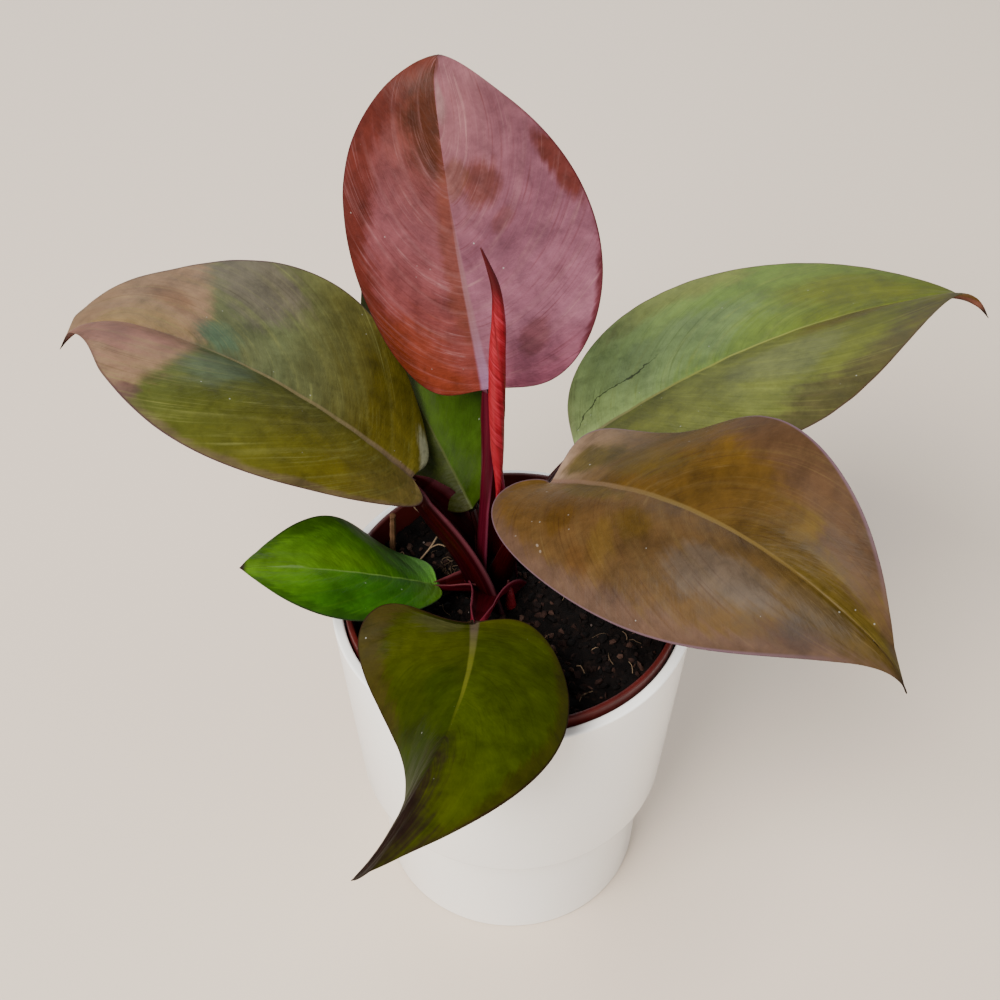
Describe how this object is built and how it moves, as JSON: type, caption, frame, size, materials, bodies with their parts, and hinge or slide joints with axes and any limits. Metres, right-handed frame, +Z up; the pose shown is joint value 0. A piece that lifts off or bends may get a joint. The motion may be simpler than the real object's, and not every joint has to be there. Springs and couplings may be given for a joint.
{
  "type": "potted foliage plant",
  "caption": "Broad-leaved aroid houseplant with a rolled new leaf, in a terracotta-coloured nursery pot of soil set inside a white glazed cachepot.",
  "frame": {"origin": "middle of the cachepot's underside, on the surface that the pot stands on", "axes": "+Z up, -Y towards the plant's front as it is seen in the picture, +X to the right as seen from there"},
  "size_m": [0.3138, 0.2372, 0.3127],
  "materials": {
    "glaze": "gloss",
    "terracotta_plastic": "satin",
    "soil": "matte",
    "stem": "satin",
    "spear": "gloss",
    "dry_stalk": "matte",
    "petiole": "satin",
    "petiole_red": "satin",
    "leaf_copper": "satin",
    "leaf_olive": "satin",
    "leaf_green": "satin",
    "leaf_bronze": "satin",
    "leaf_bright": "satin",
    "leaf_dark": "satin",
    "leaf_back": "satin"
  },
  "bodies": {
    "root": {"cachepot": "glaze", "nursery_pot": "terracotta_plastic", "soil": "soil", "stem": "stem", "spear": "spear", "bud": "spear", "dry_stalk": "dry_stalk", "petiole_top": "petiole", "petiole_left": "petiole", "petiole_right_back": "petiole", "petiole_right_front": "petiole", "petiole_small": "petiole", "petiole_front": "petiole_red", "petiole_back": "petiole", "blade_top": "leaf_copper", "blade_left": "leaf_olive", "blade_right_back": "leaf_green", "blade_right_front": "leaf_bronze", "blade_small": "leaf_bright", "blade_front": "leaf_dark", "blade_back": "leaf_back"}
  },
  "joints": []
}
